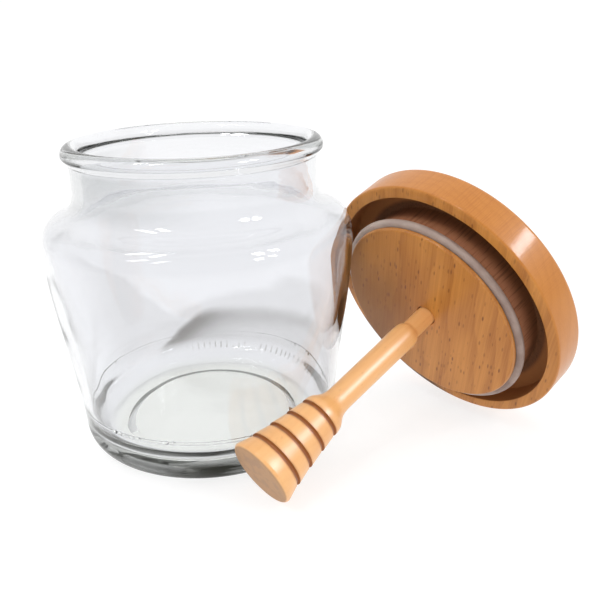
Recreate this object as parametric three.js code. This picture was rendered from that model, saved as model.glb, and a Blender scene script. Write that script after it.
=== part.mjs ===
import * as THREE from 'three';

// Honey jar with dipper, opened: an empty glass jar stands upright, and its turned beech lid
// leans beside it on the lid's lower edge and the end of the dipper that is fixed in it.
// Millimetres, +Z up. Jar heights are measured from the table. Along the lid and the dipper,
// a place is measured from the face of the lid's rim, towards the end of the dipper.

// Jar: base and outline
const jarHeight = 110;
const footRadius = 40.5;
const pushUpRadius = 33;
const pushUpHeight = 2;
const pushUpSlope = 3;
const heelRadius = 47.6;
const heelHeight = 9;
const bellyRadius = 55;
const bellyHeight = 74.5;
const neckRadius = 42.7;
const neckHeight = 94.5;
// Jar: how far the outline keeps its direction at the heel, the belly and the neck
const heelPull = 22;
const bellyPull = 16.5;
const shoulderPull = 15.6;
const neckPull = 12;
const heelLean = 1.6;
const neckLean = 0.6;
// Jar: rolled rim, and the glass
const rimRadius = 45;
const rimHeight = 6.5;
const crownRadius = 42;
const mouthRound = 4;
const sideWall = 3;
const neckWall = 3.8;
const floorHeight = 6.5;
const floorRadius = 34;
const floorRound = 9;

// Lid
const lidRadius = 50;
const lidRimToTop = 13.5;
const rimInnerRadius = 45.5;
const rimChamfer = 0.4;
const grooveDepth = 8;
const plugRadius = 37.1;
const plugHeight = 7.1;
const edgeRound = 1;
const topRound = 2;
const gasketSeatRadius = 35.9;
const socketDepth = 11;

// Gasket
const gasketRadius = 39.3;
const gasketPlace = 4;
const gasketWidth = 2.6;

// Dipper
const tenonRadius = 3.6;
const tenonChamfer = 0.5;
const shoulderPlace = 16.6;
const shoulderRadius = 4.8;
const shoulderRound = 1;
const handleRadius = 4.6;
const handleEnd = 54.5;
const collarPlace = 60;
const collarFootRadius = 5.7;
const headGrooves = [
  { place: 65.4, radius: 7.8 },
  { place: 72.2, radius: 8.7 },
  { place: 79.1, radius: 9.7 },
  { place: 86, radius: 10.9 },
];
const headGrooveWidth = 1.5;
const headGrooveDepth = 1.2;
const dipperEnd = 92.8;
const dipperEndRadius = 12.3;
const dipperEndRound = 1.4;

// How the lid lies: the middle of its rim's face, from the jar's axis, and its axis's slope and
// how far the dipper turns from it towards the jar, in degrees
const lidAlong = 63.6;
const lidAside = -58.5;
const lidSlope = 21.1;
const dipperTurn = 0.8;

// Room between two pieces that touch
const gap = 0.3;

const roundSides = 56;
const dipperSides = 36;

const glass = new THREE.MeshStandardMaterial({
  color: 0xe9eeef, roughness: 0.03, metalness: 0, transparent: true, opacity: 0.35,
});
const lidWood = new THREE.MeshStandardMaterial({ color: 0xc58a4e, roughness: 0.5, metalness: 0 });
const dipperWood = new THREE.MeshStandardMaterial({ color: 0xe9b67c, roughness: 0.4, metalness: 0 });
const silicone = new THREE.MeshStandardMaterial({ color: 0xa79ea6, roughness: 0.45, metalness: 0 });

const point = (radius, height) => new THREE.Vector2(radius, height);

// Part of an ellipse in a profile, between two angles in quarter turns
function bend(centre, across, up, from, to, steps) {
  const points = [];
  for (let i = 0; i <= steps; i++) {
    const angle = (from + (to - from) * i / steps) * Math.PI / 2;
    points.push(point(centre.x + across * Math.cos(angle), centre.y + up * Math.sin(angle)));
  }
  return points;
}

// A smooth stretch between two profile points, pulled towards two handles
function sweep(start, startHandle, endHandle, end, steps) {
  return new THREE.CubicBezierCurve(start, startHandle, endHandle, end).getPoints(steps);
}

// A profile turned round the Z axis. It runs up the outside and back down the inside.
function turned(name, profile, sides, material) {
  const geometry = new THREE.LatheGeometry(profile, sides);
  geometry.rotateX(Math.PI / 2);
  const mesh = new THREE.Mesh(geometry, material);
  mesh.name = name;
  return mesh;
}

// The jar's side from the heel up to the neck: the outer face, or a face set in from it
function jarSide(heelTop, inset, neckInset, bodySteps, shoulderSteps) {
  const heel = point(heelRadius - inset, heelTop);
  const belly = point(bellyRadius - inset, bellyHeight - inset / 3);
  const neck = point(neckRadius - neckInset, neckHeight - inset);
  const body = sweep(
    heel, point(heel.x + heelLean, heel.y + heelPull),
    point(belly.x, belly.y - bellyPull), belly, bodySteps);
  const shoulder = sweep(
    belly, point(belly.x, belly.y + shoulderPull - inset),
    point(neck.x + neckLean, neck.y - neckPull), neck, shoulderSteps);
  return [...body, ...shoulder.slice(1)];
}

// Heavy base with a sunk underside, rounded heel, swelling body, steep shoulder, short neck
// and a rolled rim
function makeJar() {
  const rimMiddle = jarHeight - rimHeight / 2;
  const mouthRadius = neckRadius - neckWall;
  const innerHeel = point(heelRadius - sideWall, floorHeight + floorRound);
  const profile = [
    point(0, pushUpHeight),
    point(pushUpRadius - pushUpSlope, pushUpHeight),
    point(pushUpRadius, 0),
    ...bend(point(footRadius, heelHeight), heelRadius - footRadius, heelHeight, -1, 0, 5),
    ...jarSide(heelHeight, 0, 0, 7, 9).slice(1),
    ...bend(point(neckRadius, rimMiddle), rimRadius - neckRadius, rimHeight / 2, -1, 0, 3),
    ...bend(point(crownRadius, rimMiddle), rimRadius - crownRadius, rimHeight / 2, 0, 1, 3).slice(1),
    ...bend(point(crownRadius, jarHeight - mouthRound), crownRadius - mouthRadius, mouthRound, 1, 2, 4)
      .slice(1),
    ...jarSide(innerHeel.y, sideWall, neckWall, 5, 7).reverse(),
    ...bend(point(floorRadius, innerHeel.y), innerHeel.x - floorRadius, floorRound, 0, -1, 4).slice(1),
    point(0, floorHeight),
  ];
  return turned('jar', profile, roundSides, glass);
}

// A disc with a deep groove in its underside, which leaves a rim outside and a plug inside.
// The plug has a seat for the gasket and a blind socket for the dipper.
function makeLid() {
  const seatHalf = gasketWidth / 2 + gap;
  const socketRadius = tenonRadius + gap;
  const socketFloor = plugHeight - socketDepth;
  const profile = [
    point(0, -lidRimToTop),
    ...bend(point(lidRadius - topRound, topRound - lidRimToTop), topRound, topRound, -1, 0, 3),
    ...bend(point(lidRadius - edgeRound, -edgeRound), edgeRound, edgeRound, 0, 1, 4),
    point(rimInnerRadius + rimChamfer, 0),
    point(rimInnerRadius, -rimChamfer),
    point(rimInnerRadius, -grooveDepth),
    point(plugRadius, -grooveDepth),
    point(plugRadius, gasketPlace - seatHalf),
    point(gasketSeatRadius, gasketPlace - seatHalf),
    point(gasketSeatRadius, gasketPlace + seatHalf),
    point(plugRadius, gasketPlace + seatHalf),
    ...bend(point(plugRadius - edgeRound, plugHeight - edgeRound), edgeRound, edgeRound, 0, 1, 3),
    point(socketRadius, plugHeight),
    point(socketRadius, socketFloor),
    point(0, socketFloor),
  ];
  return turned('lid', profile, roundSides, lidWood);
}

// A ring of rounded section in the plug's seat
function makeGasket() {
  const half = gasketWidth / 2;
  const innerRadius = gasketSeatRadius + gap;
  const profile = [
    point(innerRadius, gasketPlace - half),
    ...bend(point(gasketRadius - half, gasketPlace), half, half, -1, 1, 6),
    point(innerRadius, gasketPlace + half),
    point(innerRadius, gasketPlace - half),
  ];
  return turned('gasket', profile, roundSides, silicone);
}

// A tenon that fills the lid's socket, a rounded shoulder, a slim handle, and a flaring head
// with a rounded collar, grooves all round and a flat end
function makeDipper() {
  const tenonStart = plugHeight - socketDepth + gap;
  const firstBand = point(headGrooves[0].radius, headGrooves[0].place - headGrooveWidth / 2);
  const shoulder = point(shoulderRadius - shoulderRound, shoulderPlace + shoulderRound);
  const endEdge = point(dipperEndRadius - dipperEndRound, dipperEnd - dipperEndRound);
  const profile = [
    point(0, tenonStart),
    point(tenonRadius - tenonChamfer, tenonStart),
    point(tenonRadius, tenonStart + tenonChamfer),
    point(tenonRadius, shoulderPlace),
    ...bend(shoulder, shoulderRound, shoulderRound, -1, 0, 3),
    ...bend(
      point(collarFootRadius, handleEnd), handleRadius - collarFootRadius,
      collarPlace - handleEnd, 0, 1, 4),
    ...bend(
      point(collarFootRadius, firstBand.y), firstBand.x - collarFootRadius,
      firstBand.y - collarPlace, -1, 0, 5).slice(1, -1),
    ...headGrooves.flatMap(({ place, radius }) =>
      bend(point(radius, place), -headGrooveDepth, headGrooveWidth / 2, -1, 1, 4)),
    ...bend(endEdge, dipperEndRound, dipperEndRound, 0, 1, 4),
    point(0, dipperEnd),
  ];
  return turned('dipper', profile, dipperSides, dipperWood);
}

// A piece turned down to its own slope from upright. Its axis then points to -X and down.
function lay(piece, slope, turn) {
  piece.rotation.set(0, -(Math.PI / 2 + slope), turn, 'ZYX');
  return piece;
}

// The lid leans on the low side of its rim and, by the dipper, on the edge of the dipper's end.
// The dipper turns about the point where it leaves the plug, by the little play in its socket,
// so that its end rests on the table too.
function makeLeaningLid() {
  const slope = THREE.MathUtils.degToRad(lidSlope);
  const turn = THREE.MathUtils.degToRad(-dipperTurn);
  const height = (lidRadius - edgeRound) * Math.cos(slope) - edgeRound * Math.sin(slope) + edgeRound;
  const lid = lay(new THREE.Group().add(makeLid(), makeGasket()), slope, 0);

  const drop = height - plugHeight * Math.sin(slope) - dipperEndRound;
  const reach = dipperEnd - dipperEndRound - plugHeight;
  const half = dipperEndRadius - dipperEndRound;
  const dipperSlope = Math.asin(drop / Math.hypot(reach, half)) - Math.atan2(half, reach);
  const stick = makeDipper();
  stick.position.z = -plugHeight;
  const dipper = lay(new THREE.Group().add(stick), dipperSlope, turn);
  dipper.position.set(-plugHeight * Math.cos(slope), 0, -plugHeight * Math.sin(slope));

  const leaning = new THREE.Group().add(lid, dipper);
  leaning.position.set(lidAlong, lidAside, height);
  return leaning;
}

const honeyJar = new THREE.Group();
honeyJar.add(makeJar(), makeLeaningLid());

// The origin is on the table, under the middle of the whole
const whole = new THREE.Box3().setFromObject(honeyJar, true);
const middle = whole.getCenter(new THREE.Vector3());
honeyJar.position.set(-middle.x, -middle.y, -whole.min.z);
honeyJar.updateMatrixWorld(true);

export default honeyJar;
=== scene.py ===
import math

import bmesh
import bpy
from mathutils import Matrix, Vector, noise


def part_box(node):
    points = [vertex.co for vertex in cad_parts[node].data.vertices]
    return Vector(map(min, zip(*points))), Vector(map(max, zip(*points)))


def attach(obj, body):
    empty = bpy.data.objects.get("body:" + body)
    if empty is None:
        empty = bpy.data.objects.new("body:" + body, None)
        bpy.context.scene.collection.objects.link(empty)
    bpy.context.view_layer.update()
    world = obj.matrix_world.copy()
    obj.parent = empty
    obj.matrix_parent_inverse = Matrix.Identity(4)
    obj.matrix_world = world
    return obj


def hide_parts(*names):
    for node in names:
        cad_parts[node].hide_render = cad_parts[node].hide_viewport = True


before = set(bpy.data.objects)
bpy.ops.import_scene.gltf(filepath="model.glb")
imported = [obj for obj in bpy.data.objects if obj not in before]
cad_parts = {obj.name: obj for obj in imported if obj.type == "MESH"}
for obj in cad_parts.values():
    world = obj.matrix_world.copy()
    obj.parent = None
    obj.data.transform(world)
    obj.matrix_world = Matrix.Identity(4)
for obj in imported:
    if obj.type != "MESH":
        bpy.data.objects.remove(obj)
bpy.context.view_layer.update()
print("frame loaded")

millimetre = 0.001


def srgb(red, green, blue):
    # A colour as seen on screen, 0 to 255, in the light values that shaders use
    def light(value):
        value /= 255
        return value / 12.92 if value <= 0.04045 else ((value + 0.055) / 1.055) ** 2.4
    return (light(red), light(green), light(blue), 1)


# A socket in a node tree, so that shader maths reads as plain expressions
class Wire:
    def __init__(self, nodes, socket):
        self.nodes = nodes
        self.socket = socket

    def __add__(self, other):
        return self.nodes.maths("ADD", self, other)

    __radd__ = __add__

    def __sub__(self, other):
        return self.nodes.maths("SUBTRACT", self, other)

    def __rsub__(self, other):
        return self.nodes.maths("SUBTRACT", other, self)

    def __mul__(self, other):
        return self.nodes.maths("MULTIPLY", self, other)

    __rmul__ = __mul__

    def __truediv__(self, other):
        return self.nodes.maths("DIVIDE", self, other)

    def __pow__(self, other):
        return self.nodes.maths("POWER", self, other)

    def __abs__(self):
        return self.nodes.maths("ABSOLUTE", self)


# The nodes of one material or of the world
class Nodes:
    def __init__(self, owner):
        owner.use_nodes = True
        self.owner = owner
        self.tree = owner.node_tree
        self.tree.nodes.clear()

    def add(self, kind, settings=None, sockets=None, out=0):
        node = self.tree.nodes.new(kind)
        for key, value in (settings or {}).items():
            setattr(node, key, value)
        for key, value in (sockets or {}).items():
            if isinstance(value, Wire):
                self.tree.links.new(value.socket, node.inputs[key])
            else:
                node.inputs[key].default_value = value
        return Wire(self, node.outputs[out]) if node.outputs else node

    def maths(self, operation, *values):
        return self.add("ShaderNodeMath", {"operation": operation}, dict(enumerate(values)))

    # A mask that is 0 below low and 1 above high, with a soft curve between
    def smooth(self, value, low, high):
        return self.add(
            "ShaderNodeMapRange", {"interpolation_type": "SMOOTHSTEP"},
            {"Value": value, "From Min": low, "From Max": high})

    def mix(self, share, first, second):
        return self.add("ShaderNodeMix", {"data_type": "RGBA"}, {0: share, 6: first, 7: second}, 2)

    def stretch(self, vector, x, y, z):
        return self.add("ShaderNodeVectorMath", {"operation": "MULTIPLY"}, {0: vector, 1: (x, y, z)})

    def parts(self, vector):
        first = self.add("ShaderNodeSeparateXYZ", None, {0: vector})
        outputs = first.socket.node.outputs
        return [Wire(self, outputs[i]) for i in range(3)]

    # Soft noise between 0 and 1, about one patch for each unit of the vector
    def cloud(self, vector, detail=2, rough=0.5):
        return self.add(
            "ShaderNodeTexNoise", None,
            {"Vector": vector, "Scale": 1, "Detail": detail, "Roughness": rough})

    # Where a point lies on its own piece, in millimetres from the piece's axis and base
    def place(self):
        where = self.add("ShaderNodeTexCoord", out="Object")
        return self.stretch(where, 1 / millimetre, 1 / millimetre, 1 / millimetre)

    # The cell that a point is in: how far its middle is, and two numbers of its own
    def cells(self, vector):
        near = self.add("ShaderNodeTexVoronoi", None, {"Vector": vector, "Scale": 1})
        chance, strength = self.parts(Wire(self, near.socket.node.outputs["Color"]))[:2]
        return near, chance, strength

    def facing(self):
        return self.parts(self.add("ShaderNodeTexCoord", out="Normal"))

    def bump(self, height, distance, strength):
        return self.add(
            "ShaderNodeBump", None, {"Height": height, "Distance": distance, "Strength": strength})

    def surface(self, shader, volume=None):
        links = {"Surface": shader}
        if volume:
            links["Volume"] = volume
        self.add("ShaderNodeOutputMaterial", None, links)
        return self.owner


def clamp(value):
    return max(0, min(1, value))


def bend(centre, across, up, start, end, steps):
    # Part of an ellipse in a profile, in quarter turns: -1 down, 0 outwards, 1 up, 2 inwards
    points = []
    for i in range(steps + 1):
        angle = (start + (end - start) * i / steps) * math.pi / 2
        points.append((centre[0] + across * math.cos(angle), centre[1] + up * math.sin(angle)))
    return points


def sweep(start, startHandle, endHandle, end, steps):
    # A smooth stretch between two profile points, pulled towards two handles
    points = []
    for i in range(steps + 1):
        t = i / steps
        weights = ((1 - t) ** 3, 3 * t * (1 - t) ** 2, 3 * t * t * (1 - t), t ** 3)
        points.append(tuple(
            sum(w * p[k] for w, p in zip(weights, (start, startHandle, endHandle, end)))
            for k in range(2)))
    return points


def straight(start, end, steps):
    # Evenly spaced points on a line
    return [tuple(start[k] + (end[k] - start[k]) * i / steps for k in range(2))
            for i in range(steps + 1)]


def tidyRun(points):
    # Leaves out points that repeat the one before
    samePoint = 1e-4
    kept = [points[0]]
    for point in points[1:]:
        if abs(point[0] - kept[-1][0]) + abs(point[1] - kept[-1][1]) > samePoint:
            kept.append(point)
    return kept


def turned(name, profile, sides, material, sharpAngle, shape=None):
    # A profile in millimetres turned round Z, up the outside and back down the inside
    onAxis = 1e-6
    closed = profile[0] == profile[-1] and profile[0][0] > onAxis
    work = bmesh.new()
    rings = []
    for row, (radius, height) in enumerate(profile):
        if closed and row == len(profile) - 1:
            rings.append(rings[0])
            continue
        ring = []
        for i in range(sides if radius > onAxis else 1):
            angle = 2 * math.pi * i / sides
            r, z = shape(row, radius, height, angle) if shape else (radius, height)
            ring.append(work.verts.new((
                r * math.cos(angle) * millimetre, r * math.sin(angle) * millimetre,
                z * millimetre)))
        rings.append(ring)
    for lower, upper in zip(rings, rings[1:]):
        for i in range(sides):
            j = (i + 1) % sides
            if len(lower) == 1:
                work.faces.new((lower[0], upper[j], upper[i]))
            elif len(upper) == 1:
                work.faces.new((lower[i], lower[j], upper[0]))
            else:
                work.faces.new((lower[i], lower[j], upper[j], upper[i]))
    for face in work.faces:
        face.smooth = True
    mesh = bpy.data.meshes.new(name)
    work.to_mesh(mesh)
    work.free()
    mesh.set_sharp_from_angle(angle=math.radians(sharpAngle))
    mesh.materials.append(material)
    piece = bpy.data.objects.new(name, mesh)
    bpy.context.collection.objects.link(piece)
    return piece


def standsFor(piece, node, matrix):
    piece.matrix_world = matrix
    bpy.context.view_layer.update()
    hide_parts(node)
    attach(piece, "root")


# The camera stands as in the photograph, measured from the jar's middle
view = {
    "fromJar": (-149.46, -226.16, 149.13),
    "lookAlong": (0.61414, 0.70742, -0.34984),
    "upwards": (0.25023, 0.24587, 0.93645),
    "lens": 46.06, "sensor": 36, "nearest": 0.01,
}

jarLow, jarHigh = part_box("jar")
jarMiddle = Vector(((jarLow[0] + jarHigh[0]) / 2, (jarLow[1] + jarHigh[1]) / 2, 0))

camera = bpy.data.objects.new("camera", bpy.data.cameras.new("camera"))
camera.data.lens = view["lens"]
camera.data.sensor_width = view["sensor"]
camera.data.clip_start = view["nearest"]
ahead = Vector(view["lookAlong"]).normalized()
sideways = ahead.cross(Vector(view["upwards"])).normalized()
camera.matrix_world = Matrix.Translation(jarMiddle + Vector(view["fromJar"]) * millimetre) @ (
    Matrix((sideways, sideways.cross(ahead), -ahead)).transposed().to_4x4())
bpy.context.collection.objects.link(camera)
bpy.context.scene.camera = camera
print("camera placed")


# Clear pressed glass, cool grey, with painted shade low on its far side and, darkest, at the heel
jarGlass = {
    "bend": 1.5, "tint": (0.895, 0.90, 0.92, 1), "shadow": (0.93, 0.94, 0.94, 1),
    "depthColour": (0.70, 0.71, 0.69, 1), "depthStrength": 26,
    "away": (0.66, 0.75), "aside": (0.96, -0.29),
    "rippleGrain": (0.05, 0.05, 0.035), "rippleDepth": 0.0006, "rippleStrength": 0.5,
    "shadeTint": (0.28, 0.27, 0.26, 1), "farShadeHeight": 28, "farShadeAway": (5, 30),
    "farShadeAbove": (9, 15), "hazeGrain": (0.03, 0.03, 0.06),
    "veilLeft": -1.05, "veilRight": 0.38, "veilHaze": 14, "veilSoft": 5, "veilShare": 0.2,
    "coreSlope": 0.15, "coreLeftSlope": 0.75, "coreLeftHeight": 19, "coreJoin": 8,
    "coreHaze": 8, "coreSoft": 3, "coreSoftRight": 5, "coreRight": (0, 24), "coreBelow": (5, 15),
    "coreBelowLoss": 0.5, "coreMiddle": 2, "coreEnds": (8, 30), "coreEndsLoss": 0.35,
    "neckTint": (0.74, 0.75, 0.76, 1), "neckFrom": (86, 92), "neckTo": (102, 104),
    "neckLeft": (5, 34), "neckShare": 0.85,
    "floorTint": (0.955, 0.965, 0.925, 1), "floorEdge": (34, 42), "floorTop": (7, 10),
    "ticks": 104, "tickRadius": 46, "tickEdge": 0.8, "tickLow": 9.6, "tickHigh": 12.4,
    "tickSoft": 0.6, "tickWidth": (0.45, 0.95), "tickShare": 0.8, "tickRelief": 0.3,
    "tickPatchGrain": (0.16, 0.16, 0.16), "tickPatchRange": (0.36, 0.6), "tickAside": (-2, 16),
    "heelShade": srgb(26, 27, 15), "heelRoughness": 0.3, "heelGloss": 0.08,
    "heelEdge": (40, 43.5), "heelTop": (7, 11), "heelBack": (-30, 8),
    "heelGrain": (0.05, 0.05, 0.4), "heelStreaks": (0.35, 0.6), "heelStreakLoss": 0.25,
    "heelLeft": (-44, -12), "heelLeast": 0.66, "heelMore": 0.32,
}


def makeGlass():
    g = jarGlass
    n = Nodes(bpy.data.materials.new("jar glass"))
    place = n.place()
    x, y, z = n.parts(place)
    radius = (x ** 2 + y ** 2) ** 0.5
    away = x * g["away"][0] + y * g["away"][1]
    aside = x * g["aside"][0] + y * g["aside"][1]
    ripple = n.cloud(n.stretch(place, *g["rippleGrain"]), detail=1)
    haze = n.cloud(n.stretch(place, *g["hazeGrain"])) - 0.5

    # Painted shade low on the far side: a thin veil that rises to both sides, and a darker core with
    # a crisp upper edge
    leftRise = n.maths("MAXIMUM", aside * g["veilLeft"], 0)
    rightRise = n.maths("MAXIMUM", aside * g["veilRight"], 0)
    underVeil = g["farShadeHeight"] + leftRise + rightRise + haze * g["veilHaze"] - z
    underCore = n.maths(
        "SMOOTH_MIN", aside * g["coreSlope"] + g["farShadeHeight"],
        aside * g["coreLeftSlope"] + g["coreLeftHeight"], g["coreJoin"])
    underCore = underCore + haze * g["coreHaze"] - z
    veil = n.smooth(underVeil, 0, g["veilSoft"]) * g["veilShare"]
    core = n.smooth(
        underCore, 0, n.smooth(aside, *g["coreRight"]) * g["coreSoftRight"] + g["coreSoft"])
    core = core * (1 - n.smooth(underCore, *g["coreBelow"]) * g["coreBelowLoss"])
    fromMiddle = abs(aside - g["coreMiddle"])
    core = core * (1 - n.smooth(fromMiddle, *g["coreEnds"]) * g["coreEndsLoss"])
    farShade = (n.maths("MAXIMUM", veil, core) * n.smooth(away, *g["farShadeAway"])
             * n.smooth(z, *g["farShadeAbove"]))
    tint = n.mix(farShade, g["tint"], g["shadeTint"])

    # Painted shade, greyer at the left of the neck; the middle of the bottom is tinted clearer
    onNeck = (n.smooth(z, *g["neckFrom"]) * (1 - n.smooth(z, *g["neckTo"]))
              * n.smooth(-1 * aside, *g["neckLeft"]))
    tint = n.mix(onNeck * g["neckShare"], tint, g["neckTint"])
    onFloor = (1 - n.smooth(radius, *g["floorEdge"])) * (1 - n.smooth(z, *g["floorTop"]))
    tint = n.mix(onFloor, tint, g["floorTint"])

    # Short upright ticks round the inner heel, in patches and towards one side, raised in relief and
    # darkened with the painted shade tint
    around = n.maths("COSINE", n.maths("ARCTAN2", y, x) * g["ticks"])
    tickPatches = (n.smooth(n.cloud(n.stretch(place, *g["tickPatchGrain"])), *g["tickPatchRange"])
            * n.smooth(aside, *g["tickAside"]))
    tick = (n.smooth(around, *g["tickWidth"]) * tickPatches
            * (1 - n.smooth(radius, g["tickRadius"] - g["tickEdge"], g["tickRadius"]))
            * n.smooth(z, g["tickLow"], g["tickLow"] + g["tickSoft"])
            * (1 - n.smooth(z, g["tickHigh"] - g["tickSoft"], g["tickHigh"])))
    tint = n.mix(tick * g["tickShare"], tint, g["shadeTint"])
    clear = n.add("ShaderNodeBsdfPrincipled", None, {
        "Base Color": tint, "Roughness": 0, "IOR": g["bend"], "Transmission Weight": 1,
        "Normal": n.bump(ripple + tick * g["tickRelief"], g["rippleDepth"], g["rippleStrength"])})

    # Painted shade on the heel's near side, where a dark, dull surface is mixed into the clear glass
    heelShadeSurface = n.add("ShaderNodeBsdfPrincipled", None, {
        "Base Color": g["heelShade"], "Roughness": g["heelRoughness"], "IOR": g["bend"],
        "Specular IOR Level": g["heelGloss"]})
    streaky = n.smooth(n.cloud(n.stretch(place, *g["heelGrain"])), *g["heelStreaks"])
    heel = (n.smooth(radius, *g["heelEdge"]) * (1 - n.smooth(z, *g["heelTop"]))
            * (1 - n.smooth(away, *g["heelBack"]))
            * (1 - g["heelStreakLoss"] + streaky * g["heelStreakLoss"])
            * (g["heelLeast"] + n.smooth(aside, *g["heelLeft"]) * g["heelMore"]))
    glass = n.add("ShaderNodeMixShader", None, {0: heel, 1: clear, 2: heelShadeSurface})
    passing = n.add("ShaderNodeBsdfTransparent", None, {"Color": g["shadow"]})
    shadowRay = n.add("ShaderNodeLightPath", out="Is Shadow Ray")
    mixed = n.add("ShaderNodeMixShader", None, {0: shadowRay, 1: glass, 2: passing})
    depth = n.add("ShaderNodeVolumeAbsorption", None, {
        "Color": g["depthColour"], "Density": g["depthStrength"]})
    return n.surface(mixed, depth)


# The jar, in millimetres from the middle of its foot, its side thinner than the solid's
jar = {
    "height": 110, "footRadius": 40.5, "pushUpRadius": 33, "pushUpHeight": 2, "pushUpSlope": 3,
    "heelRadius": 47.6, "heelHeight": 9, "bellyRadius": 55, "bellyHeight": 74.5,
    "neckRadius": 42.7, "neckHeight": 94.5, "heelPull": 22, "bellyPull": 16.5,
    "shoulderPull": 15.6, "neckPull": 12, "heelLean": 1.6, "neckLean": 0.6,
    "ledge": 0.12, "ledgeStart": 0.7, "ledgeSteepness": 4,
    "rimRadius": 45, "rimHeight": 6.5, "rimSoft": 1.5, "crownRadius": 42, "mouthRound": 4,
    "sideWall": 2.3, "neckWall": 3.8, "floorHeight": 6.5, "floorRadius": 34, "floorRound": 9,
    "beadDepth": 0.4, "beadInset": 0.05, "beadHalf": 0.7,
    "ribs": 110, "ribDepth": 0.5, "ribLevel": 0.4, "ribWear": 1.8, "ribPatches": 3,
    "waveSize": 24, "outerWave": 0.024, "innerWave": 0.034, "waveLow": 12, "waveLowFade": 15,
    "waveHighFade": 12, "floorWave": 0.12, "floorPatches": 1.6,
    "neckWave": 0.03, "neckPatches": 2.2, "neckPatchHeight": 2.4, "neckFade": 4,
    "sides": 360,
}


def jarBody(heelTop, inset):
    # The body from the heel up to the belly: the outer face, or a face set in from it
    j = jar
    heel = (j["heelRadius"] - inset, heelTop)
    belly = (j["bellyRadius"] - inset, j["bellyHeight"])
    return sweep(
        heel, (heel[0] + j["heelLean"], heel[1] + j["heelPull"]),
        (belly[0], belly[1] - j["bellyPull"]), belly, steps=26)


def jarShoulder():
    # The outer face from the belly in to the neck
    j = jar
    belly = (j["bellyRadius"], j["bellyHeight"])
    neck = (j["neckRadius"], j["neckHeight"])
    return sweep(
        belly, (belly[0], belly[1] + j["shoulderPull"]),
        (neck[0] + j["neckLean"], neck[1] - j["neckPull"]), neck, steps=24)


def setIn(outer):
    # The inner face of the shoulder, a wall's thickness in from the outer one
    j = jar
    inner = []
    for before, here, after in zip(outer[:1] + outer, outer, outer[1:] + outer[-1:]):
        across, up = after[0] - before[0], after[1] - before[1]
        length = math.hypot(across, up)
        share = (here[1] - j["bellyHeight"]) / (j["neckHeight"] - j["bellyHeight"])
        wall = j["sideWall"] + (j["neckWall"] - j["sideWall"]) * share * share * (3 - 2 * share)
        inner.append((here[0] - wall * up / length, here[1] + wall * across / length))
    return inner


def neckSide(radius, low, high, steps):
    # The upright neck, with a small ledge under the rim
    rows = []
    for i in range(steps + 1):
        share = i / steps
        ledge = clamp((share - jar["ledgeStart"]) * jar["ledgeSteepness"])
        rows.append((radius + jar["ledge"] * ledge, low + (high - low) * share))
    return rows


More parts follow.
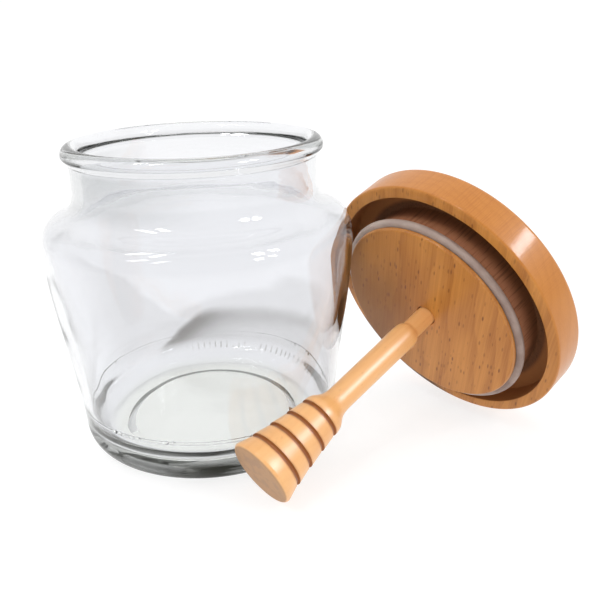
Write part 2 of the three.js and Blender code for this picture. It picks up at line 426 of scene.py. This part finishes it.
def makeJar():
    j = jar
    rimBottom = j["height"] - j["rimHeight"]
    rimMiddle = j["height"] - j["rimHeight"] / 2
    ledgeRadius = j["neckRadius"] + j["ledge"]
    mouthRadius = j["neckRadius"] - j["neckWall"]
    dish = (j["pushUpRadius"] - j["pushUpSlope"], j["pushUpHeight"])
    shoulder = jarShoulder()
    innerHeel = (j["heelRadius"] - j["sideWall"], j["floorHeight"] + j["floorRound"])
    innerSide = jarBody(innerHeel[1], j["sideWall"]) + setIn(shoulder)[1:]
    bead = (innerHeel[0] + j["beadInset"], innerHeel[1] + j["beadHalf"])
    outside = tidyRun(
        straight((0, j["pushUpHeight"]), dish, steps=4)
        + straight(dish, (j["pushUpRadius"], 0), steps=3)
        + straight((j["pushUpRadius"], 0), (j["footRadius"], 0), steps=10)
        + bend((j["footRadius"], j["heelHeight"]), j["heelRadius"] - j["footRadius"],
               j["heelHeight"], -1, 0, steps=14)
        + jarBody(j["heelHeight"], 0) + shoulder[1:]
        + neckSide(j["neckRadius"], j["neckHeight"], rimBottom, steps=24)
        + sweep((ledgeRadius, rimBottom), (ledgeRadius, rimBottom + j["rimSoft"]),
                (j["rimRadius"], rimMiddle - j["rimSoft"]), (j["rimRadius"], rimMiddle), steps=12)
        + bend((j["crownRadius"], rimMiddle), j["rimRadius"] - j["crownRadius"],
               j["rimHeight"] / 2, 0, 1, steps=8))
    inside = tidyRun(
        bend((j["crownRadius"], j["height"] - j["mouthRound"]), j["crownRadius"] - mouthRadius,
             j["mouthRound"], 1, 2, steps=10)
        + innerSide[:0:-1]
        + bend(bead, -j["beadDepth"], j["beadHalf"], 1, -1, steps=8)
        + bend((j["floorRadius"], innerHeel[1]), innerHeel[0] - j["floorRadius"],
               j["floorRound"], 0, -1, steps=12)
        + straight((j["floorRadius"], j["floorHeight"]), (0, j["floorHeight"]), steps=12))
    profile = tidyRun(outside + inside)
    insideStart = len(outside)

    def pressed(row, radius, height, angle):
        # Slight waves in the side and the bottom, ribs on the bead, and an uneven neck
        spot = Vector((math.cos(angle) * radius, math.sin(angle) * radius, height))
        spot = spot / j["waveSize"]
        wave = (noise.noise(spot) + 1) / 2
        level = (clamp((height - j["waveLow"]) / j["waveLowFade"])
                 * clamp((j["bellyHeight"] + j["waveHighFade"] - height) / j["waveHighFade"]))
        if row >= insideStart and innerHeel[1] < height < innerHeel[1] + 2 * j["beadHalf"]:
            tickPatches = clamp(j["ribLevel"] + j["ribWear"] * noise.noise(spot * j["ribPatches"]))
            rib = max(0, math.cos(j["ribs"] * angle)) ** 3 * tickPatches
            return radius - rib * j["ribDepth"], height
        if row >= insideStart:
            onFloor = radius < j["floorRadius"]
            rise = j["floorWave"] * noise.noise(spot * j["floorPatches"]) if onFloor else 0
            return radius + (wave - 0.5) * 2 * j["innerWave"] * level, height + rise
        if j["neckHeight"] < height < rimBottom:
            uneven = noise.noise(Vector((
                math.cos(angle) * j["neckPatches"], math.sin(angle) * j["neckPatches"],
                height / j["neckPatchHeight"])))
            start = min(1, (height - j["neckHeight"]) / j["neckFade"])
            return radius - (0.5 + uneven / 2) * j["neckWave"] * start, height
        return radius - wave * j["outerWave"] * level, height

    piece = turned("glassJar", profile, j["sides"], makeGlass(), sharpAngle=30, shape=pressed)
    standsFor(piece, "jar", Matrix.Translation(jarMiddle))


makeJar()
print("jar made")


# Turned beech with the grain across the lid, upwards in its plane as it leans
lidWood = {
    "light": srgb(204, 137, 62), "dark": srgb(163, 98, 35), "grainTurn": 20,
    "ringWidth": 3.4, "heart": (16, 92), "driftGrain": (0.012, 0.045, 0.045), "drift": 3.2,
    "ringRise": (0.25, 0.92), "ringFall": (0.92, 1), "ringShare": 0.34,
    "fibreGrain": (0.035, 1.5, 1.5), "fibreRange": (0.3, 0.72), "fibreShare": 0.34,
    "broadGrain": (0.02, 0.09, 0.09), "broadRange": (0.35, 0.65), "broadShare": 0.32,
    "side": srgb(196, 122, 40), "sideFrom": (47, 49), "sideShare": 0.75,
    "endGrain": srgb(176, 102, 34), "endOn": (0.45, 0.9), "rayGrain": (0.5, 2.4, 0.05),
    "rays": (0.48, 0.66), "endShare": 0.4, "flat": (0.6, 0.9),
    "shaded": srgb(122, 72, 16), "shadedSpread": 24, "shadedFrom": (14, 44),
    "shadedAbove": (2, 6), "shadedShare": 0.75,
    "fleck": srgb(104, 52, 10), "fleckSize": (4.2, 1.25, 30), "fleckEdge": (0.12, 0.4),
    "fleckChance": (0.58, 0.6), "fleckLeast": 0.3, "fleckShare": 0.85,
    "underEdgeShade": srgb(58, 32, 14), "underSide": (-0.8, 0.6), "underFrom": (41, 46),
    "underRadius": (45, 46.5), "underAbove": (-2.5, -0.8), "underShare": 0.85,
    "grooveInner": (36.4, 37), "grooveOuter": (45.4, 45.8), "grooveFloor": (-10, -9),
    "grooveTop": (3, 5), "grooveShade": srgb(152, 96, 50), "grooveShare": 0.95,
    "plugShade": srgb(104, 64, 38), "plugLit": srgb(176, 118, 86), "plugRise": (-6, 2),
    "plugDash": srgb(52, 26, 12), "dashGrain": (1.5, 1.5, 0.1), "dashes": (0.5, 0.68),
    "dashShare": 0.45, "plugEdge": (39, 41),
    "fibreRelief": 0.4, "fleckRelief": 0.9, "rayRelief": 0.2, "relief": 0.00006,
    "reliefStrength": 0.5, "bend": 1.46, "gloss": 0.35, "roughness": 0.36,
    "fibreRoughness": 0.12, "endRoughness": 0.06, "grooveRoughness": 0.4,
    "coat": 0.42, "flatCoatLoss": 0.32, "coatRoughness": 0.14,
}


def makeLidWood():
    w = lidWood
    n = Nodes(bpy.data.materials.new("turned beech"))
    place = n.place()
    x, y, z = n.parts(place)
    radius = (x ** 2 + y ** 2) ** 0.5
    turn = math.radians(w["grainTurn"])
    along = x * math.cos(turn) - y * math.sin(turn)
    across = x * math.sin(turn) + y * math.cos(turn)
    grain = n.add("ShaderNodeCombineXYZ", None, {0: along, 1: across, 2: z})
    faceX, faceY, faceZ = n.facing()
    endOn = n.smooth(abs(faceX * math.cos(turn) - faceY * math.sin(turn)), *w["endOn"])
    flat = n.smooth(abs(faceZ), *w["flat"])

    # Year rings, fibres and broad bands along the grain
    drift = n.cloud(n.stretch(grain, *w["driftGrain"]), detail=3)
    fromHeart = ((across - w["heart"][0]) ** 2 + (z - w["heart"][1]) ** 2) ** 0.5
    phase = n.maths("FRACT", fromHeart / w["ringWidth"] + drift * w["drift"])
    ring = n.smooth(phase, *w["ringRise"]) * (1 - n.smooth(phase, *w["ringFall"]))
    fibre = n.cloud(n.stretch(grain, *w["fibreGrain"]), detail=4, rough=0.6)
    broad = n.cloud(n.stretch(grain, *w["broadGrain"]))
    tone = (ring * w["ringShare"] + n.smooth(fibre, *w["fibreRange"]) * w["fibreShare"]
            + n.smooth(broad, *w["broadRange"]) * w["broadShare"])
    colour = n.mix(tone, w["light"], w["dark"])

    # The side, the end grain, the part of the face that the jar shades, and the flecks
    outer = (1 - flat) * n.smooth(radius, *w["sideFrom"])
    colour = n.mix(outer * w["sideShare"], colour, w["side"])
    rays = n.cloud(n.stretch(grain, *w["rayGrain"]))
    colour = n.mix(endOn * n.smooth(rays, *w["rays"]) * w["endShare"], colour, w["endGrain"])
    nearJar = (n.smooth(y + broad * w["shadedSpread"], *w["shadedFrom"]) * flat
               * n.smooth(z, *w["shadedAbove"]))
    colour = n.mix(nearJar * w["shadedShare"], colour, w["shaded"])
    cell, chance, strength = n.cells(n.stretch(grain, *(1 / size for size in w["fleckSize"])))
    fleck = ((1 - n.smooth(cell, *w["fleckEdge"])) * n.smooth(chance, *w["fleckChance"]) * flat
             * (w["fleckLeast"] + strength * (1 - w["fleckLeast"])))
    colour = n.mix(fleck * w["fleckShare"], colour, w["fleck"])

    # Painted shade along the lower edge of the rim, on the side towards the jar
    towardsEdge = y * w["underSide"][1] + x * w["underSide"][0]
    underEdgeShade = (n.smooth(towardsEdge, *w["underFrom"]) * n.smooth(radius, *w["underRadius"])
                 * n.smooth(z, *w["underAbove"]))
    colour = n.mix(underEdgeShade * w["underShare"], colour, w["underEdgeShade"])

    # Painted shade in the groove, deepening down the side of the plug, with short upright dashes on
    # that side
    inGroove = (n.smooth(radius, *w["grooveInner"]) * (1 - n.smooth(radius, *w["grooveOuter"]))
                * n.smooth(z, *w["grooveFloor"]) * (1 - n.smooth(z, *w["grooveTop"])))
    dashes = n.smooth(n.cloud(n.stretch(place, *w["dashGrain"])), *w["dashes"])
    plugTone = n.mix(n.smooth(z, *w["plugRise"]), w["plugShade"], w["plugLit"])
    plugTone = n.mix(dashes * w["dashShare"], plugTone, w["plugDash"])
    grooveTone = n.mix(n.smooth(radius, *w["plugEdge"]), plugTone, w["grooveShade"])
    colour = n.mix(inGroove * w["grooveShare"], colour, grooveTone)
    height = fibre * w["fibreRelief"] - fleck * w["fleckRelief"] - rays * w["rayRelief"]
    surface = n.add("ShaderNodeBsdfPrincipled", None, {
        "Base Color": colour,
        "Roughness": (w["roughness"] + fibre * w["fibreRoughness"] + endOn * w["endRoughness"]
                      + inGroove * w["grooveRoughness"]),
        "IOR": w["bend"], "Specular IOR Level": w["gloss"],
        "Coat Weight": (w["coat"] - flat * w["flatCoatLoss"]) * (1 - inGroove),
        "Coat Roughness": w["coatRoughness"],
        "Normal": n.bump(height, w["relief"], w["reliefStrength"])})
    return n.surface(surface)


# The lid, in millimetres from the middle of its rim's face
lid = {
    "radius": 50, "rimToTop": 13.5, "rimInnerRadius": 45.5, "rimChamfer": 0.4, "grooveDepth": 8,
    "plugRadius": 37.1, "plugHeight": 7.1, "edgeRound": 1, "topRound": 2,
    "grooveCorner": 0.6, "gasketSeatRadius": 35.9, "socketDepth": 11, "socketChamfer": 0.25,
    "sides": 288,
}

# The gasket and the dipper, in millimetres along the lid's axis from that same point
gasket = {"radius": 39.3, "place": 4, "width": 2.6, "sides": 256}
dipper = {
    "tenonRadius": 3.6, "tenonChamfer": 0.5, "shoulderPlace": 15.6, "shoulderRadius": 4.8,
    "shoulderSoft": 5, "collarPull": 1.6, "collarStart": 1.2, "handleRadius": 4.6,
    "handleEnd": 54, "handlePull": 7, "headPull": 5,
    "grooves": ((65.4, 7.8), (72.2, 8.7), (79.1, 9.7), (86, 10.9)), "grooveWidth": 1.5,
    "grooveDepth": 1.2, "end": 92.8, "endRadius": 12.3, "endRound": 1.4,
    "sides": 144,
}

# The clearance round the dipper's tenon and round the gasket in its seat
gap = 0.3

# How the lid leans on its edge: its place from the jar's axis, and its angles in degrees
leaning = {"along": 63.6, "aside": -58.5, "slope": 21.1, "dipperTurn": 0.8}


def laidDown(slope, turn):
    # Turns an upright piece so that its top points to -X and down by the slope
    return Matrix.Rotation(turn, 4, "Z") @ Matrix.Rotation(-(math.pi / 2 + slope), 4, "Y")


slope = math.radians(leaning["slope"])
rimHeight = ((lid["radius"] - lid["edgeRound"]) * math.cos(slope)
             - lid["edgeRound"] * math.sin(slope) + lid["edgeRound"])
rimMiddle = jarMiddle + Vector((leaning["along"], leaning["aside"], rimHeight)) * millimetre
lidPlace = Matrix.Translation(rimMiddle) @ laidDown(slope, 0)

# The dipper slopes so that the lower edge of its end touches the table
drop = rimHeight - lid["plugHeight"] * math.sin(slope) - dipper["endRound"]
reach = dipper["end"] - dipper["endRound"] - lid["plugHeight"]
half = dipper["endRadius"] - dipper["endRound"]
dipperSlope = math.asin(drop / math.hypot(reach, half)) - math.atan2(half, reach)
plugFace = rimMiddle + Vector((
    -lid["plugHeight"] * math.cos(slope), 0, -lid["plugHeight"] * math.sin(slope))) * millimetre
dipperPlace = (Matrix.Translation(plugFace)
               @ laidDown(dipperSlope, math.radians(-leaning["dipperTurn"]))
               @ Matrix.Translation((0, 0, -lid["plugHeight"] * millimetre)))


def makeLid():
    k = lid
    corner = k["grooveCorner"]
    seatHalf = gasket["width"] / 2 + gap
    socketRadius = dipper["tenonRadius"] + gap
    socketFloor = k["plugHeight"] - k["socketDepth"]
    profile = tidyRun(
        [(0, -k["rimToTop"])]
        + bend((k["radius"] - k["topRound"], k["topRound"] - k["rimToTop"]), k["topRound"],
               k["topRound"], -1, 0, steps=8)
        + bend((k["radius"] - k["edgeRound"], -k["edgeRound"]), k["edgeRound"], k["edgeRound"],
               0, 1, steps=7)
        + bend((k["rimInnerRadius"] + k["rimChamfer"], -k["rimChamfer"]), k["rimChamfer"],
               k["rimChamfer"], 1, 2, steps=4)
        + bend((k["rimInnerRadius"] - corner, corner - k["grooveDepth"]), corner, corner,
               0, -1, steps=4)
        + bend((k["plugRadius"] + corner, corner - k["grooveDepth"]), corner, corner,
               -1, -2, steps=4)
        + [(k["plugRadius"], gasket["place"] - seatHalf),
           (k["gasketSeatRadius"], gasket["place"] - seatHalf),
           (k["gasketSeatRadius"], gasket["place"] + seatHalf),
           (k["plugRadius"], gasket["place"] + seatHalf)]
        + bend((k["plugRadius"] - k["edgeRound"], k["plugHeight"] - k["edgeRound"]),
               k["edgeRound"], k["edgeRound"], 0, 1, steps=7)
        + [(socketRadius + k["socketChamfer"], k["plugHeight"]),
           (socketRadius, k["plugHeight"] - k["socketChamfer"]),
           (socketRadius, socketFloor), (0, socketFloor)])
    piece = turned("beechLid", profile, k["sides"], makeLidWood(), sharpAngle=40)
    standsFor(piece, "lid", lidPlace)
    return piece


lidPiece = makeLid()
print("lid made")


# Cloudy grey silicone, with painted shade that deepens its tone towards -Y
sealRubber = {
    "colour": srgb(190, 171, 160), "deep": srgb(138, 116, 107),
    "hazeGrain": (0.12, 0.12, 0.3), "hazeRange": (0.35, 0.68), "hazeShare": 0.4,
    "deepFrom": (-8, 34), "deepShare": 0.6,
    "speckGrain": (2.2, 2.2, 2.2), "speckRoughness": 0.16, "roughness": 0.36, "bend": 1.41,
    "under": 0.35, "underReach": (1.0, 0.8, 0.9), "underScale": 0.0012,
    "relief": 0.00003, "reliefStrength": 0.5,
}


def makeSealRubber():
    s = sealRubber
    n = Nodes(bpy.data.materials.new("cloudy silicone"))
    place = n.place()
    y = n.parts(place)[1]
    haze = n.cloud(n.stretch(place, *s["hazeGrain"]), detail=3)
    specks = n.cloud(n.stretch(place, *s["speckGrain"]))
    # Random cloudiness, and painted shade towards -Y
    deep = (n.smooth(haze, *s["hazeRange"]) * s["hazeShare"]
            + n.smooth(-1 * y, *s["deepFrom"]) * s["deepShare"])
    surface = n.add("ShaderNodeBsdfPrincipled", None, {
        "Base Color": n.mix(deep, s["colour"], s["deep"]),
        "Roughness": s["roughness"] + specks * s["speckRoughness"], "IOR": s["bend"],
        "Subsurface Weight": s["under"], "Subsurface Radius": s["underReach"],
        "Subsurface Scale": s["underScale"],
        "Normal": n.bump(specks, s["relief"], s["reliefStrength"])})
    return n.surface(surface)


def makeGasket():
    g = gasket
    halfWidth = g["width"] / 2
    inner = lid["gasketSeatRadius"] + gap
    nose = bend((g["radius"] - halfWidth, g["place"]), halfWidth, halfWidth, -1, 1, steps=16)
    profile = [(inner, g["place"] - halfWidth)] + nose + [(inner, g["place"] + halfWidth)]
    profile = profile + profile[:1]
    piece = turned("sealRing", profile, g["sides"], makeSealRubber(), sharpAngle=50)
    standsFor(piece, "gasket", lidPlace)


makeGasket()
print("gasket made")


# Pale turned wood with the grain along the handle and burnt grooves
dipperWood = {
    "light": srgb(247, 188, 122), "dark": srgb(236, 170, 102),
    "ringWidth": 2.7, "heart": (17, 9), "driftGrain": (0.1, 0.1, 0.015), "drift": 2.4,
    "ringRise": (0.3, 0.9), "ringFall": (0.9, 1), "ringShare": 0.2,
    "fibreGrain": (2, 2, 0.06), "fibreRange": (0.3, 0.72), "fibreShare": 0.2,
    "broadGrain": (0.16, 0.16, 0.03), "broadRange": (0.35, 0.65), "broadShare": 0.4,
    "fleck": srgb(208, 146, 84), "fleckSize": (0.55, 3.0, 2.2), "fleckEdge": (0.14, 0.4),
    "fleckChance": (0.88, 0.9), "fleckShare": 0.28,
    "endFace": srgb(160, 127, 102), "endOn": (0.6, 0.95), "endShare": 0.74,
    "mottleGrain": (0.3, 0.3, 0.5), "mottleRange": (0.42, 0.62), "mottleShare": 0.12,
    "burn": srgb(166, 98, 44), "burnReach": (0.5, 1.05), "burnShare": 0.92,
    "scorch": srgb(200, 132, 68), "scorchReach": (0.8, 1.7), "scorchShare": 0.5,
    "raggedGrain": (0.5, 0.5, 0.9), "ragged": 0.5,
    "fibreRelief": 0.5, "fleckRelief": 0.6, "relief": 0.00005, "reliefStrength": 0.4,
    "bend": 1.46, "roughness": 0.32, "fibreRoughness": 0.12, "endRoughness": 0.22,
    "burnRoughness": 0.12, "coat": 0.6, "coatRoughness": 0.34,
}


def makeDipperWood():
    w = dipperWood
    n = Nodes(bpy.data.materials.new("pale turned wood"))
    place = n.place()
    x, y, z = n.parts(place)
    endOn = n.smooth(n.facing()[2], *w["endOn"])

    # Year rings, fibres and broad bands, and a few faint flecks
    drift = n.cloud(n.stretch(place, *w["driftGrain"]), detail=3)
    fromHeart = ((x - w["heart"][0]) ** 2 + (y - w["heart"][1]) ** 2) ** 0.5
    phase = n.maths("FRACT", fromHeart / w["ringWidth"] + drift * w["drift"])
    ring = n.smooth(phase, *w["ringRise"]) * (1 - n.smooth(phase, *w["ringFall"]))
    fibre = n.cloud(n.stretch(place, *w["fibreGrain"]), detail=4, rough=0.6)
    broad = n.cloud(n.stretch(place, *w["broadGrain"]))
    tone = (ring * w["ringShare"] + n.smooth(fibre, *w["fibreRange"]) * w["fibreShare"]
            + n.smooth(broad, *w["broadRange"]) * w["broadShare"])
    colour = n.mix(tone, w["light"], w["dark"])
    cell, chance = n.cells(n.stretch(place, *(1 / size for size in w["fleckSize"])))[:2]
    fleck = (1 - n.smooth(cell, *w["fleckEdge"])) * n.smooth(chance, *w["fleckChance"])
    colour = n.mix(fleck * w["fleckShare"], colour, w["fleck"])

    # The flat end, which is greyer and mottled
    mottle = n.cloud(n.stretch(place, *w["mottleGrain"]), detail=4)
    mottle = n.smooth(mottle, *w["mottleRange"])
    colour = n.mix(endOn * (w["endShare"] + mottle * w["mottleShare"]), colour, w["endFace"])

    # Burnt in the grooves and scorched along their edges
    ragged = n.cloud(n.stretch(place, *w["raggedGrain"]), detail=3)
    ragged = (ragged - 0.5) * w["ragged"]
    burn = 0
    scorch = 0
    for groove in dipper["grooves"]:
        away = abs(z - groove[0]) + ragged
        burn = burn + (1 - n.smooth(away, *w["burnReach"]))
        scorch = scorch + (1 - n.smooth(away, *w["scorchReach"]))
    colour = n.mix(scorch * w["scorchShare"], colour, w["scorch"])
    colour = n.mix(burn * w["burnShare"], colour, w["burn"])
    height = fibre * w["fibreRelief"] - fleck * w["fleckRelief"]
    surface = n.add("ShaderNodeBsdfPrincipled", None, {
        "Base Color": colour,
        "Roughness": (w["roughness"] + fibre * w["fibreRoughness"] + endOn * w["endRoughness"]
                      + burn * w["burnRoughness"]),
        "IOR": w["bend"], "Coat Weight": w["coat"] * (1 - endOn),
        "Coat Roughness": w["coatRoughness"],
        "Normal": n.bump(height, w["relief"], w["reliefStrength"])})
    return n.surface(surface)


def makeDipper():
    d = dipper
    tenonStart = lid["plugHeight"] - lid["socketDepth"] + gap
    firstPlace, firstRadius = d["grooves"][0]
    firstBand = (firstRadius, firstPlace - d["grooveWidth"] / 2)
    collar = (d["tenonRadius"], d["shoulderPlace"])
    shoulder = (d["shoulderRadius"], d["shoulderPlace"] + d["shoulderSoft"])
    points = [
        (0, tenonStart), (d["tenonRadius"] - d["tenonChamfer"], tenonStart),
        (d["tenonRadius"], tenonStart + d["tenonChamfer"]), collar]
    points += sweep(
        collar, (d["tenonRadius"], d["shoulderPlace"] + d["collarPull"]),
        (d["shoulderRadius"], d["shoulderPlace"] + d["collarStart"]), shoulder, steps=14)
    points += sweep(
        (d["handleRadius"], d["handleEnd"]),
        (d["handleRadius"], d["handleEnd"] + d["handlePull"]),
        (firstBand[0], firstBand[1] - d["headPull"]), firstBand, steps=18)
    for place, radius in d["grooves"]:
        points += bend((radius, place), -d["grooveDepth"], d["grooveWidth"] / 2, -1, 1, steps=10)
    points += bend(
        (d["endRadius"] - d["endRound"], d["end"] - d["endRound"]), d["endRound"], d["endRound"],
        0, 1, steps=8)
    points += straight((d["endRadius"] - d["endRound"], d["end"]), (0, d["end"]), steps=3)
    piece = turned("honeyDipper", tidyRun(points), d["sides"], makeDipperWood(), sharpAngle=40)
    standsFor(piece, "dipper", dipperPlace)
    return piece


dipperPiece = makeDipper()
print("dipper made")


# White table and white room, a little darker towards the camera and overhead
studio = {
    "tableSize": 6, "tableDrop": 0.00005, "tableColour": (0.3, 0.3, 0.3, 1), "tableGlow": 0.76,
    "tableRoughness": 0.9, "tableGloss": 0.1,
    "behind": 1.03, "around": 0.68, "overhead": 0.72, "behindFrom": (-0.4, 0.5),
    "overheadFrom": (0.35, 0.95),
}


def makeTable():
    work = bmesh.new()
    bmesh.ops.create_grid(work, x_segments=1, y_segments=1, size=studio["tableSize"] / 2)
    mesh = bpy.data.meshes.new("table")
    work.to_mesh(mesh)
    work.free()
    table = bpy.data.objects.new("table", mesh)
    table.location = (0, 0, -studio["tableDrop"])
    bpy.context.collection.objects.link(table)
    n = Nodes(bpy.data.materials.new("white table"))
    top = n.add("ShaderNodeBsdfPrincipled", None, {
        "Base Color": studio["tableColour"], "Roughness": studio["tableRoughness"],
        "Specular IOR Level": studio["tableGloss"],
        "Emission Color": (1, 1, 1, 1), "Emission Strength": studio["tableGlow"]})
    mesh.materials.append(n.surface(top))


def makeRoom():
    world = bpy.data.worlds.new("room")
    bpy.context.scene.world = world
    n = Nodes(world)
    direction = n.add("ShaderNodeTexCoord", out="Generated")
    x, y, z = n.parts(direction)
    level = Vector((view["lookAlong"][0], view["lookAlong"][1], 0)).normalized()
    lookedAt = n.smooth(x * level.x + y * level.y, *studio["behindFrom"])
    above = n.smooth(z, *studio["overheadFrom"])
    glow = (studio["around"] + lookedAt * (studio["behind"] - studio["around"])
            + above * (studio["overhead"] - studio["around"]))
    colour = n.add("ShaderNodeCombineXYZ", None, {0: glow, 1: glow, 2: glow})
    room = n.add("ShaderNodeBackground", None, {"Color": colour, "Strength": 1})
    n.add("ShaderNodeOutputWorld", None, {"Surface": room})


def lamp(name, place, target, size, power, colour=(1, 1, 1), gloss=True):
    light = bpy.data.lights.new(name, "AREA")
    light.shape = "RECTANGLE"
    light.size, light.size_y = size
    light.energy = power
    light.color = colour
    thing = bpy.data.objects.new(name, light)
    thing.location = place
    thing.rotation_euler = (Vector(target) - Vector(place)).to_track_quat("-Z", "Y").to_euler()
    thing.visible_glossy = gloss
    thing.visible_transmission = gloss
    bpy.context.collection.objects.link(thing)
    return thing


# Two windows of two panes each, which light the wood and leave the bright spots on the jar
windows = {
    "front": {"azimuth": -73, "height": 38, "distance": 1.6, "pane": (0.17, 0.28), "gap": 0.12,
              "glow": 16, "target": (0, 0, 0.05)},
    "left": {"azimuth": 175, "height": 59, "distance": 1.6, "pane": (0.12, 0.36), "gap": 0.24,
             "glow": 19, "target": (0, 0, 0.05)},
}
# Windows that each show on one piece alone, as a streak across the lid's side or the dipper
streaks = {
    "lid": {"azimuth": -53, "height": 40, "distance": 1.5, "size": (0.45, 0.2), "glow": 28,
            "colour": (0.86, 0.91, 1.0), "target": (0, 0, 0.04)},
    "dipper": {"azimuth": -70, "height": 40, "distance": 1.5, "size": (0.6, 0.85), "glow": 9.5,
               "colour": (0.68, 0.8, 1.0), "target": (0, 0, 0.04)},
}
# A weak light from above that no piece reflects
overheadLight = {
    "place": (0.1, 0.3, 1.4), "target": (0, 0, 0), "size": (1.6, 1.6), "power": 3,
}


def towards(w):
    azimuth = math.radians(w["azimuth"])
    height = math.radians(w["height"])
    return Vector((
        math.cos(height) * math.cos(azimuth), math.cos(height) * math.sin(azimuth),
        math.sin(height)))


def paneLight(w, size):
    # The light of a window that glows evenly, from its brightness and its size
    return w["glow"] * math.pi * size[0] * size[1]


def makeWindow(name, w):
    outward = towards(w)
    sideways = Vector((0, 0, 1)).cross(outward).normalized()
    for side, end in ((-1, "Left"), (1, "Right")):
        place = outward * w["distance"] + sideways * side * (w["pane"][0] + w["gap"]) / 2
        lamp(name + end, place, w["target"], w["pane"], paneLight(w, w["pane"]))


def makeStreak(name, w, piece):
    window = lamp(name + "Streak", towards(w) * w["distance"], w["target"], w["size"],
                  paneLight(w, w["size"]), w["colour"])
    lit = bpy.data.collections.new(name + "Lit")
    lit.objects.link(piece)
    window.light_linking.receiver_collection = lit
    window.visible_diffuse = False


makeTable()
makeRoom()
for name, window in windows.items():
    makeWindow(name, window)
makeStreak("lid", streaks["lid"], lidPiece)
makeStreak("dipper", streaks["dipper"], dipperPiece)
lamp("overhead", overheadLight["place"], overheadLight["target"], overheadLight["size"],
     overheadLight["power"], gloss=False)
scene = bpy.context.scene
scene.view_settings.view_transform = "Standard"
scene.cycles.max_bounces = 24
scene.cycles.glossy_bounces = 16
scene.cycles.transmission_bounces = 24
print("studio lit")
